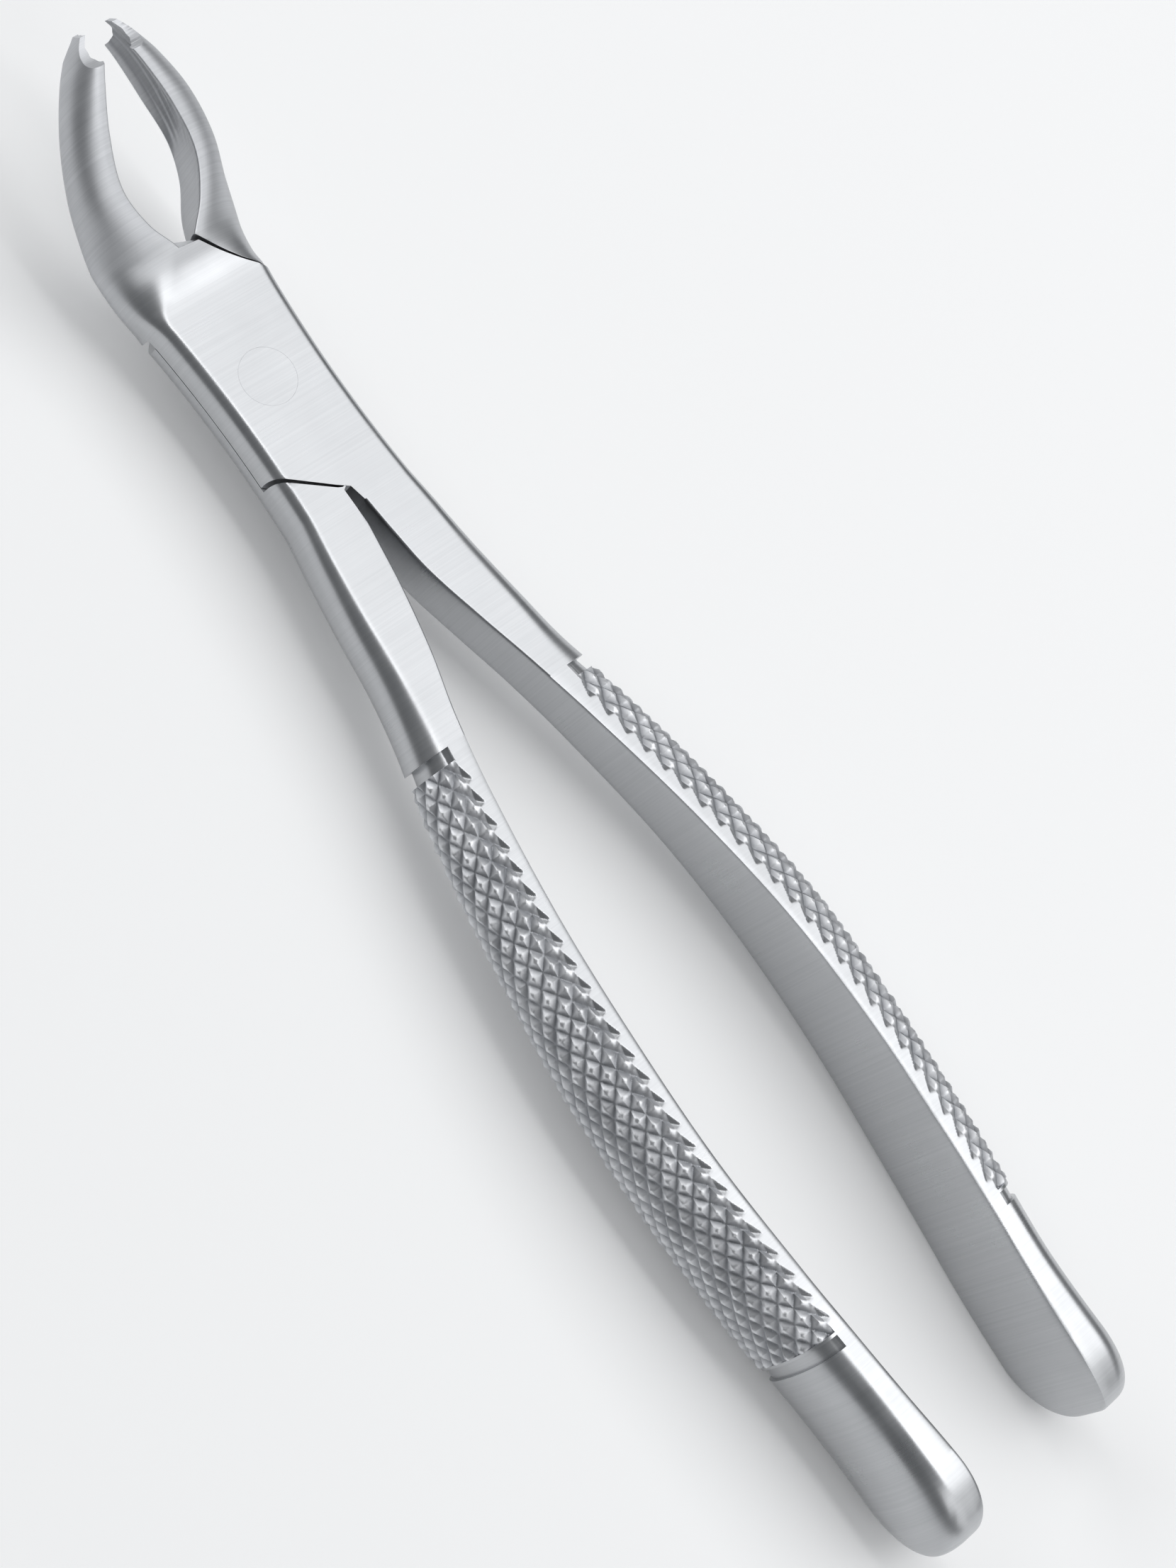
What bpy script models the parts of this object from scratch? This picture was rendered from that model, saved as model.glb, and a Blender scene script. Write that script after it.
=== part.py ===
"""Lap-joint extraction forceps with pointed, hollow-ground molar beaks.

World frame, in metres: +X runs along the instrument towards the beaks, +Y is the side of
the left handle, +Z is the front face.  The pivot axis is the Z axis and the flat back of
the joint lies in the plane Z = 0.  Lengths below are written in millimetres.
"""

import math

import bmesh
import bpy

MM = 0.001

# Driving dimensions of the lap joint
JOINT_DEPTH = 6.3
PARTING_Z = JOINT_DEPTH / 2
LAP_GAP = 0.2
JOINT_RIGHT = 7.5
JOINT_LEFT = 6.4
JOINT_WAIST_X = -4.5
JOINT_FLARE = 0.0036
PIN_HEAD_RADIUS = 3.2
PIN_SHANK_RADIUS = 2.4
PIN_HEAD_DEPTH = 1.3
PIN_HEAD_RIM = 0.4
PIN_CLEARANCE = 0.08

# Shoulders of the front lap, as seen from the front: (x, y) of each line's two ends.
# The first line is the edge of the lap plate, the second the shoulder that faces it.
UPPER_PLATE_EDGE = ((8.6, -8.9), (16.3, -0.2))
UPPER_SHOULDER = ((9.1, -8.9), (17.3, -0.2))
LOWER_PLATE_EDGE = ((-8.3, 7.9), (-13.0, 0.9))
LOWER_SHOULDER = ((-8.6, 7.9), (-14.0, 0.9))
# The rear layer's beak-side lines sit lower and leave a wedge open at the side
REAR_PLATE_EDGE = ((6.5, -8.9), (14.3, -1.3))
REAR_SHOULDER = ((7.9, -8.9), (15.6, -1.3))
CROTCH_GAP = 0.9
FORK_X = -15.9
FORK_FRONT = 0.95
FORK_REAR = 0.45
PAST_FRONT = 0.4
PAST_REAR = 1.0
OVERSHOOT = 4.0
SLOPE_RUN = 0.85
REACH = 30.0
WIDE = 14.0
BLOCK_TOP = 8.6
ROOT_START = 10.6
ROOT_END_FRONT = 16.5
ROOT_END_REAR = 14.4

# Section outline: each side is a superellipse quarter pair between two flats
SIDE_STEPS = 14
HOLLOW_SPAN = 0.86
BLOCK_CORNER = 1.1
BLOCK_POWER = 3.6

# Handle stations: x, inner face y, front flat width, outer bulge, depth along Z, power,
# and how far both handles sway to the left
HANDLE = (
    (-15.8, 0.4, 5.5, 1.6, 6.3, 3.6, -0.5),
    (-20.0, 0.9, 5.5, 1.8, 6.3, 3.3, -0.4),
    (-25.5, 1.7, 5.3, 1.9, 6.4, 3.0, -0.3),
    (-32.5, 3.4, 4.2, 2.2, 6.6, 2.7, -0.4),
    (-39.0, 5.3, 2.9, 2.8, 6.9, 2.4, -0.3),
    (-47.5, 7.3, 2.1, 4.0, 7.6, 2.2, -0.3),
    (-62.0, 9.9, 1.9, 4.4, 9.2, 2.1, -0.4),
    (-76.0, 11.4, 1.9, 4.5, 11.4, 2.1, -0.3),
    (-90.0, 11.8, 1.9, 4.1, 13.0, 2.1, 0.1),
    (-104.0, 11.1, 1.9, 4.0, 14.2, 2.1, 0.4),
    (-111.5, 10.5, 1.9, 3.7, 14.6, 2.2, 0.5),
    (-119.0, 9.8, 2.0, 3.5, 14.8, 2.3, 0.6),
    (-127.0, 9.1, 2.5, 3.6, 14.8, 2.3, 0.5),
    (-134.0, 8.7, 2.9, 4.2, 14.6, 2.2, 0.4),
)
HANDLE_END = -136.0
HANDLE_END_ROUND = 8.0
END_SHRINK_INNER = 0.24
END_SHRINK_FLAT = 0.50
END_SHRINK_BULGE = 0.60
END_SHRINK_DEPTH = 0.75
HANDLE_STEP = 2.6
INNER_CORNER = 0.5
INNER_POWER = 6.0

# Grip bands along the handle: the undercut neck and the patterned grip
NECK_START = -41.3
GRIP_START = -42.8
GRIP_END = -110.6
GRIP_TAIL_START = -110.95
GRIP_TAIL_END = -112.4
NECK_DROP = 0.45
TAIL_DROP = 0.35
GRIP_RISE = 0.35
SHANK_RISE = 0.5

# Beak stations: centre-line x, centre-line z, inner face y at the front, outer y, depth,
# hollow, power, and how much further back the inner face lies at the rear edge
BEAK = (
    (9.5, 3.15, 0.4, 7.2, 6.3, 0.0, 3.6, 3.0),
    (12.6, 3.55, 0.4, 7.8, 6.4, 0.0, 2.6, 3.2),
    (15.0, 4.4, 0.4, 8.2, 6.6, 0.0, 2.2, 3.4),
    (17.2, 5.7, 0.8, 8.6, 6.7, 0.0, 2.1, 3.4),
    (20.3, 7.8, 3.2, 8.8, 6.4, 0.2, 2.1, 2.1),
    (24.0, 10.3, 4.6, 8.8, 6.0, 0.9, 2.1, 0.7),
    (28.5, 13.3, 3.9, 7.7, 5.8, 1.7, 2.1, 0.0),
    (32.5, 16.0, 2.4, 5.6, 5.5, 1.8, 2.1, 0.1),
    (35.0, 17.7, 1.2, 3.6, 5.1, 1.5, 2.1, 0.1),
    (36.2, 18.5, 0.75, 2.4, 4.8, 1.0, 2.1, 0.0),
)
RIGHT_ROOT_EXTRA = 0.8
RIGHT_ROOT_FADE = 20.0
BEAK_THICK_SHARE = 0.93
BEAK_ROUNDING = 0.28
BEAK_WALL = 0.35
BEAK_INNER_SHARE = 0.10
LEAN_START = 11.0
LEAN_RUN = 6.0
BEAK_STEP = 1.1
NOTCH_RADIUS = 4.0
NOTCH_ACROSS = 4.6
NOTCH_AHEAD = 0.66

ROUND_SEGMENTS = 48

STEEL_ROUGHNESS = 0.28
STEEL_COLOUR = (0.62, 0.64, 0.67, 1.0)
PIN_COLOUR = (0.70, 0.71, 0.73, 1.0)


def smooth_value(rows, column, x):
    """Monotone-ish cubic through the stations, by finite-difference slopes."""
    if rows[0][0] > rows[-1][0]:
        rows = rows[::-1]
    xs = [row[0] for row in rows]
    ys = [row[column] for row in rows]
    if x <= xs[0]:
        return ys[0]
    if x >= xs[-1]:
        return ys[-1]
    i = max(k for k in range(len(xs) - 1) if xs[k] <= x)
    step = xs[i + 1] - xs[i]

    def slope(k):
        low, high = max(k - 1, 0), min(k + 1, len(xs) - 1)
        return (ys[high] - ys[low]) / (xs[high] - xs[low])

    s = (x - xs[i]) / step
    return (
        ys[i] * (2 * s**3 - 3 * s**2 + 1)
        + slope(i) * step * (s**3 - 2 * s**2 + s)
        + ys[i + 1] * (3 * s**2 - 2 * s**3)
        + slope(i + 1) * step * (s**3 - s**2)
    )


def side_outline(bulge, half_depth, power, hollow=0.0, skew=0.0):
    """Points (outward, up) down one side of a section, from the front flat to the back."""
    points = []
    for k in range(SIDE_STEPS + 1):
        up = math.sin(math.pi / 2 - math.pi * k / SIDE_STEPS)
        out = bulge * max(0.0, 1 - abs(up) ** power) ** (1 / power)
        if hollow:
            out -= hollow * max(0.0, 1 - (up / HOLLOW_SPAN) ** 2) ** 0.75
        out -= skew * (1 - up) / 2
        points.append((out, up * half_depth))
    return points


def ring(centre, tilt, left, right, half_depth):
    """One closed section.  left and right are (flat edge y, bulge, power, hollow, skew)."""
    points = []
    for sign, (flat_y, *shape) in ((1, left), (-1, right)):
        bulge, *rest = shape
        side = side_outline(bulge, half_depth, *rest)
        if sign < 0:
            side = side[::-1]
        for out, up in side:
            x = centre[0] - up * math.sin(tilt)
            z = centre[1] + up * math.cos(tilt)
            points.append((x * MM, (flat_y + sign * out) * MM, z * MM))
    return points


def block_side(x, side):
    """The plain side of the joint block, which flares a little towards both ends."""
    half_width = JOINT_LEFT if side > 0 else JOINT_RIGHT
    half_width += JOINT_FLARE * (x - JOINT_WAIST_X) ** 2
    return (side * (half_width - BLOCK_CORNER), BLOCK_CORNER, BLOCK_POWER)


def block_ring(x):
    return ring((x, PARTING_Z), 0.0, block_side(x, 1), block_side(x, -1), JOINT_DEPTH / 2)


def grip_offset(x):
    """How far the outer surface stands off the plain handle at x."""
    if x > NECK_START:
        return SHANK_RISE * max(0.0, min(1.0, (NECK_START + 20 - x) / 20))
    if x > GRIP_START:
        return -NECK_DROP
    if x > GRIP_END:
        return GRIP_RISE
    if x > GRIP_TAIL_START:
        return 0.0
    if x > GRIP_TAIL_END:
        return -TAIL_DROP
    return 0.0


def handle_ring(x, side):
    """Section of a handle; side is +1 for the left handle and -1 for the right one."""
    inner, flat, bulge, depth, power, sway = (
        smooth_value(HANDLE, c, x) for c in range(1, 7)
    )
    inner += sway * side
    half_depth = depth / 2
    bulge += grip_offset(x)
    shrink = 0.0
    if x < HANDLE_END + HANDLE_END_ROUND:
        s = (HANDLE_END + HANDLE_END_ROUND - x) / HANDLE_END_ROUND
        shrink = 1 - math.sqrt(max(0.0, 1 - s * s))
    width = inner + flat + bulge
    inner += shrink * END_SHRINK_INNER * (width - inner)
    flat *= 1 - END_SHRINK_FLAT * shrink
    bulge *= 1 - END_SHRINK_BULGE * shrink
    half_depth *= 1 - END_SHRINK_DEPTH * shrink
    inner_side = (inner + INNER_CORNER, INNER_CORNER, INNER_POWER)
    outer_side = (inner + flat, bulge, power)
    if side > 0:
        left = outer_side
        right = inner_side
    else:
        left = (-inner_side[0],) + inner_side[1:]
        right = (-outer_side[0],) + outer_side[1:]
    return ring((x, PARTING_Z), 0.0, left, right, half_depth)


def beak_tilt(x):
    """Angle of the beak's centre line above the X axis."""
    reach = 0.4
    x = min(x, BEAK[-1][0] - reach)
    return math.atan2(
        smooth_value(BEAK, 1, x + reach) - smooth_value(BEAK, 1, x - reach), 2 * reach
    )


def beak_ring(x, side, rooted=False):
    """Section of a beak, square to its centre line; side is +1 for the left beak.

    A rooted section runs on across the joint, where the lap plate starts.
    """
    z, inner, outer, depth, hollow, power, skew = (
        smooth_value(BEAK, c, x) for c in range(1, 8)
    )
    if side < 0:
        fade = (RIGHT_ROOT_FADE - x) / (RIGHT_ROOT_FADE - BEAK[0][0])
        outer += RIGHT_ROOT_EXTRA * max(0.0, min(1.0, fade))
    thick = outer - inner
    lean = skew * max(0.0, min(1.0, (x - LEAN_START) / LEAN_RUN))
    inner_bulge = min(BEAK_INNER_SHARE * thick, INNER_CORNER)
    bulge = min(
        BEAK_THICK_SHARE * thick,
        BLOCK_CORNER + BEAK_ROUNDING * max(0.0, x - BEAK[0][0]) ** 2,
        thick - inner_bulge - skew - BEAK_WALL + lean / 2,
    )
    inner_side = (inner + inner_bulge, inner_bulge, INNER_POWER, hollow, skew)
    outer_side = (outer - bulge - lean / 2, bulge, power, 0.0, -lean)
    if side > 0:
        left = outer_side
        right = inner_side
        if rooted:
            right = block_side(x, -1)
    else:
        left = (-inner_side[0],) + inner_side[1:]
        right = (-outer_side[0],) + outer_side[1:]
        if rooted:
            left = block_side(x, 1)
    return ring((x, z), beak_tilt(x), left, right, depth / 2)


def spread(start, stop, step):
    count = max(1, math.ceil(abs(stop - start) / step))
    return [start + (stop - start) * k / count for k in range(count + 1)]


def handle_stations():
    """x of every handle section, with a pair at each sharp step of the grip."""
    tiny = 0.06
    edges = (NECK_START, GRIP_START, GRIP_END, GRIP_TAIL_START, GRIP_TAIL_END)
    stations = spread(HANDLE[0][0], NECK_START + tiny, HANDLE_STEP)
    for start, stop in zip(edges, edges[1:] + (HANDLE_END + HANDLE_END_ROUND,)):
        stations += spread(start - tiny, stop + tiny, HANDLE_STEP)
    end_steps = 8
    for k in range(1, end_steps + 1):
        s = math.sin(math.pi / 2 * k / end_steps)
        stations.append(HANDLE_END + HANDLE_END_ROUND * (1 - s))
    return stations


def loft(name, rings):
    """A closed mesh object skinned over equal rings."""
    mesh = bpy.data.meshes.new(name)
    count = len(rings[0])
    verts = [point for points in rings for point in points]
    faces = []
    for i in range(len(rings) - 1):
        for k in range(count):
            a = i * count + k
            b = i * count + (k + 1) % count
            faces.append((a, b, b + count, a + count))
    faces.append(tuple(range(count))[::-1])
    faces.append(tuple(range((len(rings) - 1) * count, len(rings) * count)))
    mesh.from_pydata(verts, [], faces)
    return finish_mesh(name, mesh)


def finish_mesh(name, mesh):
    bm = bmesh.new()
    bm.from_mesh(mesh)
    bmesh.ops.remove_doubles(bm, verts=bm.verts, dist=1e-7)
    bmesh.ops.recalc_face_normals(bm, faces=bm.faces)
    bm.to_mesh(mesh)
    bm.free()
    obj = bpy.data.objects.new(name, mesh)
    bpy.context.scene.collection.objects.link(obj)
    return obj


def prism(name, outline, low, high):
    """A cutter with a straight-sided outline between two heights."""
    mesh = bpy.data.meshes.new(name)
    count = len(outline)
    verts = [(x * MM, y * MM, z * MM) for z in (low, high) for x, y in outline]
    faces = [(k, (k + 1) % count, count + (k + 1) % count, count + k) for k in range(count)]
    faces.append(tuple(range(count))[::-1])
    faces.append(tuple(range(count, 2 * count)))
    mesh.from_pydata(verts, [], faces)
    return hide_cutter(finish_mesh(name, mesh))


def turned(name, profile, hidden=True):
    """A solid of revolution about the pivot axis from (radius, z) pairs."""
    mesh = bpy.data.meshes.new(name)
    verts = []
    for radius, z in profile:
        for k in range(ROUND_SEGMENTS):
            angle = 2 * math.pi * k / ROUND_SEGMENTS
            verts.append((radius * math.cos(angle) * MM, radius * math.sin(angle) * MM, z * MM))
    faces = []
    for i in range(len(profile) - 1):
        for k in range(ROUND_SEGMENTS):
            a = i * ROUND_SEGMENTS + k
            b = i * ROUND_SEGMENTS + (k + 1) % ROUND_SEGMENTS
            faces.append((a, b, b + ROUND_SEGMENTS, a + ROUND_SEGMENTS))
    last = (len(profile) - 1) * ROUND_SEGMENTS
    faces.append(tuple(range(ROUND_SEGMENTS))[::-1])
    faces.append(tuple(range(last, last + ROUND_SEGMENTS)))
    mesh.from_pydata(verts, [], faces)
    obj = finish_mesh(name, mesh)
    return hide_cutter(obj) if hidden else obj


def hide_cutter(obj):
    obj.hide_render = True
    obj.display_type = "WIRE"
    return obj


def cut(obj, cutter):
    modifier = obj.modifiers.new("cut " + cutter.name, "BOOLEAN")
    modifier.operation = "DIFFERENCE"
    modifier.solver = "EXACT"
    modifier.object = cutter


def steel(name, colour, roughness):
    material = bpy.data.materials.new(name)
    material.use_nodes = True
    shader = material.node_tree.nodes["Principled BSDF"]
    shader.inputs["Base Color"].default_value = colour
    shader.inputs["Metallic"].default_value = 1.0
    shader.inputs["Roughness"].default_value = roughness
    return material


def smooth_shade(obj, angle=math.radians(32)):
    """Round surfaces smooth, with the real edges kept sharp."""
    obj.data.shade_smooth()
    bm = bmesh.new()
    bm.from_mesh(obj.data)
    for edge in bm.edges:
        edge.smooth = not (len(edge.link_faces) == 2 and edge.calc_face_angle() > angle)
    bm.to_mesh(obj.data)
    bm.free()


def mirrored(points):
    """The same outline on the other side of the long axis."""
    return [(x, -y) for x, y in points]


def beyond_edges(upper, lower, fork):
    """Outlines of what lies past a plate's two edges and belongs to the other half."""
    (ux0, uy0), (ux1, uy1) = upper
    (lx0, ly0), (lx1, ly1) = lower
    half = CROTCH_GAP / 2
    above = [
        (ux0 - OVERSHOOT * SLOPE_RUN, uy0 - OVERSHOOT),
        (ux1, uy1),
        (ux1 + 0.6, half - 0.2),
        (REACH, half - 0.2),
        (REACH, -REACH),
        (ux0 - OVERSHOOT * SLOPE_RUN, -REACH),
    ]
    below = [
        (lx0 + OVERSHOOT * SLOPE_RUN, ly0 + OVERSHOOT),
        (lx1, ly1),
        (lx1 - 0.9, -half),
        (FORK_X, -fork),
        (-REACH, -fork),
        (-REACH, REACH),
        (lx0 + OVERSHOOT * SLOPE_RUN, REACH),
    ]
    return above, below


def between_shoulders(upper, lower, past):
    """Outline of one layer of the joint, between the two shoulders that face its plate."""
    (ux0, uy0), (ux1, uy1) = upper
    (lx0, ly0), (lx1, ly1) = lower
    half = CROTCH_GAP / 2
    return [
        (ux0 - OVERSHOOT * SLOPE_RUN, uy0 - OVERSHOOT),
        (ux1, uy1),
        (ux1 + past, -half),
        (ux1 + past, WIDE),
        (lx0 + OVERSHOOT * SLOPE_RUN, WIDE),
        (lx0, ly0),
        (lx1, ly1),
        (lx1 - 0.2, half),
        (lx1 - 0.2, -WIDE),
        (ux0 - OVERSHOOT * SLOPE_RUN, -WIDE),
    ]


def pin_profile(clearance=0.0, overshoot=0.0):
    """(radius, z) pairs of the riveted pin, or of its bore with a clearance."""
    head = PIN_HEAD_RADIUS + clearance
    shank = PIN_SHANK_RADIUS + clearance
    return [
        (head, -overshoot),
        (head, PIN_HEAD_RIM),
        (shank, PIN_HEAD_DEPTH),
        (shank, JOINT_DEPTH - PIN_HEAD_DEPTH),
        (head, JOINT_DEPTH - PIN_HEAD_RIM),
        (head, JOINT_DEPTH + overshoot),
    ]


def tip_cutters():
    """Two round cutters that leave a point in the middle of each beak's end."""
    x, z = BEAK[-1][0], BEAK[-1][1]
    tilt = beak_tilt(x)
    cutters = []
    for side in (1, -1):
        across = side * NOTCH_ACROSS
        middle_x = x + NOTCH_AHEAD * math.cos(tilt) - across * math.sin(tilt)
        middle_z = z + NOTCH_AHEAD * math.sin(tilt) + across * math.cos(tilt)
        outline = []
        for k in range(ROUND_SEGMENTS):
            angle = 2 * math.pi * k / ROUND_SEGMENTS
            outline.append((NOTCH_RADIUS * math.cos(angle), NOTCH_RADIUS * math.sin(angle)))
        name = "tip_cutter_front" if side > 0 else "tip_cutter_back"
        cutter = prism(name, outline, -WIDE, WIDE)
        cutter.rotation_euler = (math.pi / 2, 0.0, 0.0)
        cutter.location = (middle_x * MM, 0.0, middle_z * MM)
        cutters.append(cutter)
    return cutters


def build_half(name, side, shared_cutters):
    """One forging: a beak on one side, its lap plate, and the handle on the other side.

    side is +1 for the half with the left beak and the front lap plate.
    """
    rings = [handle_ring(x, -side) for x in reversed(handle_stations())]
    rings += [block_ring(x) for x in spread(-14.6, BLOCK_TOP, 6.0)]
    root_end = ROOT_END_FRONT if side > 0 else ROOT_END_REAR
    rings += [beak_ring(x, side, rooted=True) for x in spread(ROOT_START, root_end, BEAK_STEP)]
    rings += [beak_ring(x, side) for x in spread(root_end + 0.7, BEAK[-1][0], BEAK_STEP)]
    half = loft(name, rings)
    if side > 0:
        edges = beyond_edges(UPPER_PLATE_EDGE, LOWER_PLATE_EDGE, FORK_FRONT)
        layer = mirrored(between_shoulders(REAR_SHOULDER, LOWER_SHOULDER, PAST_REAR))
        low, high = -WIDE, PARTING_Z + LAP_GAP / 2
    else:
        edges = beyond_edges(REAR_PLATE_EDGE, LOWER_PLATE_EDGE, FORK_REAR)
        edges = [mirrored(outline) for outline in edges]
        layer = between_shoulders(UPPER_SHOULDER, LOWER_SHOULDER, PAST_FRONT)
        low, high = PARTING_Z - LAP_GAP / 2, WIDE
    cut(half, prism(name + "_above", edges[0], -WIDE, 2 * WIDE))
    cut(half, prism(name + "_below", edges[1], -WIDE, 2 * WIDE))
    cut(half, prism(name + "_layer", layer, low, high))
    for cutter in shared_cutters:
        cut(half, cutter)
    smooth_shade(half)
    half.data.materials.append(steel(name + "_steel", STEEL_COLOUR, STEEL_ROUGHNESS))
    return half


def main():
    for obj in list(bpy.data.objects):
        bpy.data.objects.remove(obj)
    scene = bpy.context.scene
    bore = turned("pin_bore", pin_profile(PIN_CLEARANCE, 1.0))
    shared_cutters = [bore] + tip_cutters()
    front = build_half("front_half", 1, shared_cutters)
    rear = build_half("rear_half", -1, shared_cutters)
    pin = turned("pivot_pin", pin_profile(), hidden=False)
    pin.data.materials.append(steel("pivot_pin_steel", PIN_COLOUR, STEEL_ROUGHNESS))
    smooth_shade(pin)
    hinge = bpy.data.objects.new("hinge_axis", None)
    scene.collection.objects.link(hinge)
    rear.parent = hinge
    pin.parent = front


main()
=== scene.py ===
"""Extraction forceps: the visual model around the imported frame.

The frame's axes: +X runs towards the beaks, +Y is the side of the left handle and +Z is the
front face.  The pivot is the Z axis.  Shapes are worked out in millimetres and turned into
metres when a mesh is made.
"""

import math

import bmesh
import bpy
import numpy as np
from mathutils import Matrix, Vector


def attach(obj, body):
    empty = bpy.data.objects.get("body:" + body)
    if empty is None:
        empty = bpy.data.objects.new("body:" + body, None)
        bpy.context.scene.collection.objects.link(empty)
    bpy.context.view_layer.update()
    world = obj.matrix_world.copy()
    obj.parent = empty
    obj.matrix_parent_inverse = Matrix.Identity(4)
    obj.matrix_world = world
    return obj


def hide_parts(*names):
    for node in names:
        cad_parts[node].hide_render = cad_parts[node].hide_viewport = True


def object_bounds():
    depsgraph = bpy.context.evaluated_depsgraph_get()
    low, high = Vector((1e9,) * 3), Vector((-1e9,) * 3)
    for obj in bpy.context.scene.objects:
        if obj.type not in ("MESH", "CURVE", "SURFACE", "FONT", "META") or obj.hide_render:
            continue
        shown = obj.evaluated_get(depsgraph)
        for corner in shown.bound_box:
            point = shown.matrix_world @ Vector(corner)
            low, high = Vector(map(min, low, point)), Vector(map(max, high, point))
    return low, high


MM = 0.001

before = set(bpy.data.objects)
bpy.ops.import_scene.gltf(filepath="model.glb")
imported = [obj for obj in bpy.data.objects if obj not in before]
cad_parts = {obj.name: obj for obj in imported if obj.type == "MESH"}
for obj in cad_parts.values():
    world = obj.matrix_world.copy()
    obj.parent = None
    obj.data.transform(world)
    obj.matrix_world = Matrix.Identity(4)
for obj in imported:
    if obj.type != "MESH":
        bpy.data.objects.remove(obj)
CAD_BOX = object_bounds()

# Driving dimensions of the lap joint
JOINT_DEPTH = 6.3
PARTING_Z = JOINT_DEPTH / 2
LAP_GAP = 0.12
JOINT_RIGHT = 7.5
JOINT_LEFT = 6.4
JOINT_WAIST_X = -4.5
JOINT_FLARE = 0.0036

# The pin's flush heads, which are a little dished, and the bore around it
PIN_RADIUS = 3.2
PIN_RING = 0.006
PIN_RIM = 0.008
PIN_DISH = 0.03
PIN_DISH_RADIUS = 0.4
PIN_DISH_EASE = 1.0
PIN_DISH_EASE_SHARE = 0.6
BORE_OVERSHOOT = 1.0

# Shoulders of the front lap, seen from the front: (x, y) of each line's two ends
UPPER_PLATE_EDGE = ((8.6, -8.9), (16.3, -0.2))
UPPER_SHOULDER = ((8.8, -8.9), (16.8, -0.2))
LOWER_PLATE_EDGE = ((-8.3, 7.9), (-13.0, 0.9))
LOWER_SHOULDER = ((-8.43, 7.9), (-13.35, 0.9))
REAR_PLATE_EDGE = ((6.5, -8.9), (14.3, -1.3))
REAR_SHOULDER = ((7.9, -8.9), (15.6, -1.3))
CROTCH_GAP = 0.9
FORK_X = -15.9
FORK_FRONT = 0.95
FORK_REAR = 0.45
PAST_FRONT = 0.4
PAST_REAR = 1.0
CROTCH_CORNER_UP = 0.6
CROTCH_CORNER_DOWN = 0.9
CORNER_INSET = 0.2
OVERSHOOT = 4.0
SLOPE_RUN = 0.85
REACH = 30.0
WIDE = 14.0
BLOCK_START = -14.6
BLOCK_TOP = 8.6
ROOT_START = 9.1
ROOT_END_FRONT = 16.5
ROOT_END_REAR = 14.4
HOLLOW_SPAN = 0.86
HOLLOW_POWER = 0.75
BLOCK_CORNER = 1.7
BLOCK_POWER = 2.6

# Handle stations: x, inner face y, front flat width, outer bulge, depth along Z, power,
# and how far both handles sway to the left
HANDLE = (
    (-15.8, 0.4, 5.3, 1.8, 6.3, 2.6, -0.5),
    (-20.0, 0.9, 5.3, 2.0, 6.3, 2.5, -0.4),
    (-25.5, 1.7, 5.0, 2.2, 6.4, 2.4, -0.3),
    (-32.5, 3.4, 4.0, 2.4, 6.6, 2.3, -0.4),
    (-39.0, 5.3, 2.8, 2.9, 6.9, 2.2, -0.3),
    (-47.5, 7.3, 2.1, 4.0, 7.6, 2.2, -0.3),
    (-62.0, 9.9, 1.9, 4.4, 9.2, 2.1, -0.4),
    (-76.0, 11.4, 1.9, 4.5, 11.4, 2.1, -0.3),
    (-90.0, 11.8, 1.9, 4.1, 13.0, 2.1, 0.1),
    (-104.0, 11.1, 1.9, 4.0, 14.2, 2.1, 0.4),
    (-111.5, 10.5, 1.9, 3.7, 14.6, 2.2, 0.5),
    (-119.0, 9.8, 2.0, 3.5, 14.8, 2.3, 0.6),
    (-127.0, 9.1, 2.5, 3.6, 14.8, 2.3, 0.5),
    (-134.0, 8.7, 2.9, 4.2, 14.6, 2.2, 0.4),
)
HANDLE_END = -136.0
HANDLE_END_ROUND = 8.0
END_SHRINK_INNER = 0.24
END_SHRINK_FLAT = 0.50
END_SHRINK_BULGE = 0.60
END_SHRINK_DEPTH = 0.75
INNER_CORNER = 0.5
INNER_POWER = 6.0

NECK_START = -41.3
GRIP_START = -42.8
GRIP_END = -110.6
GRIP_TAIL_START = -110.95
GRIP_TAIL_END = -112.4
GRIP_RISE = 0.35
SHANK_RISE = 0.5
SHANK_RUN = 20.0

# Knurl: the pitch of the diamonds along and around the handle, and how deep they are cut
KNURL_ALONG = 2.66
KNURL_AROUND = 2.3
KNURL_PHASE = 0.25
KNURL_DEPTH = 0.52
KNURL_FLAT = 0.80
KNURL_UNEVEN = 0.12
KNURL_TILT = 0.14
KNURL_ROUGH = 0.05
KNURL_SEED = 11
KNURL_EDGE = 0.02
KNURL_RUNOUT = 1.1
KNURL_RUNOUT_SHARE = 0.6
KNURL_RUNOUT_SLOPE = 0.60
KNURL_RUNOUT_FADE = 1.0
KNURL_EDGE_SHARE = 0.85
NECK_SINK = 0.5
TAIL_SINK = 0.4
SINK_RAMP = 0.7
TINY = 0.02

# The numbers of the usual sine hash, which makes each diamond's height its own
HASH_FIRST = 12.9898
HASH_SECOND = 78.233
HASH_SCALE = 43758.5453

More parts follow.
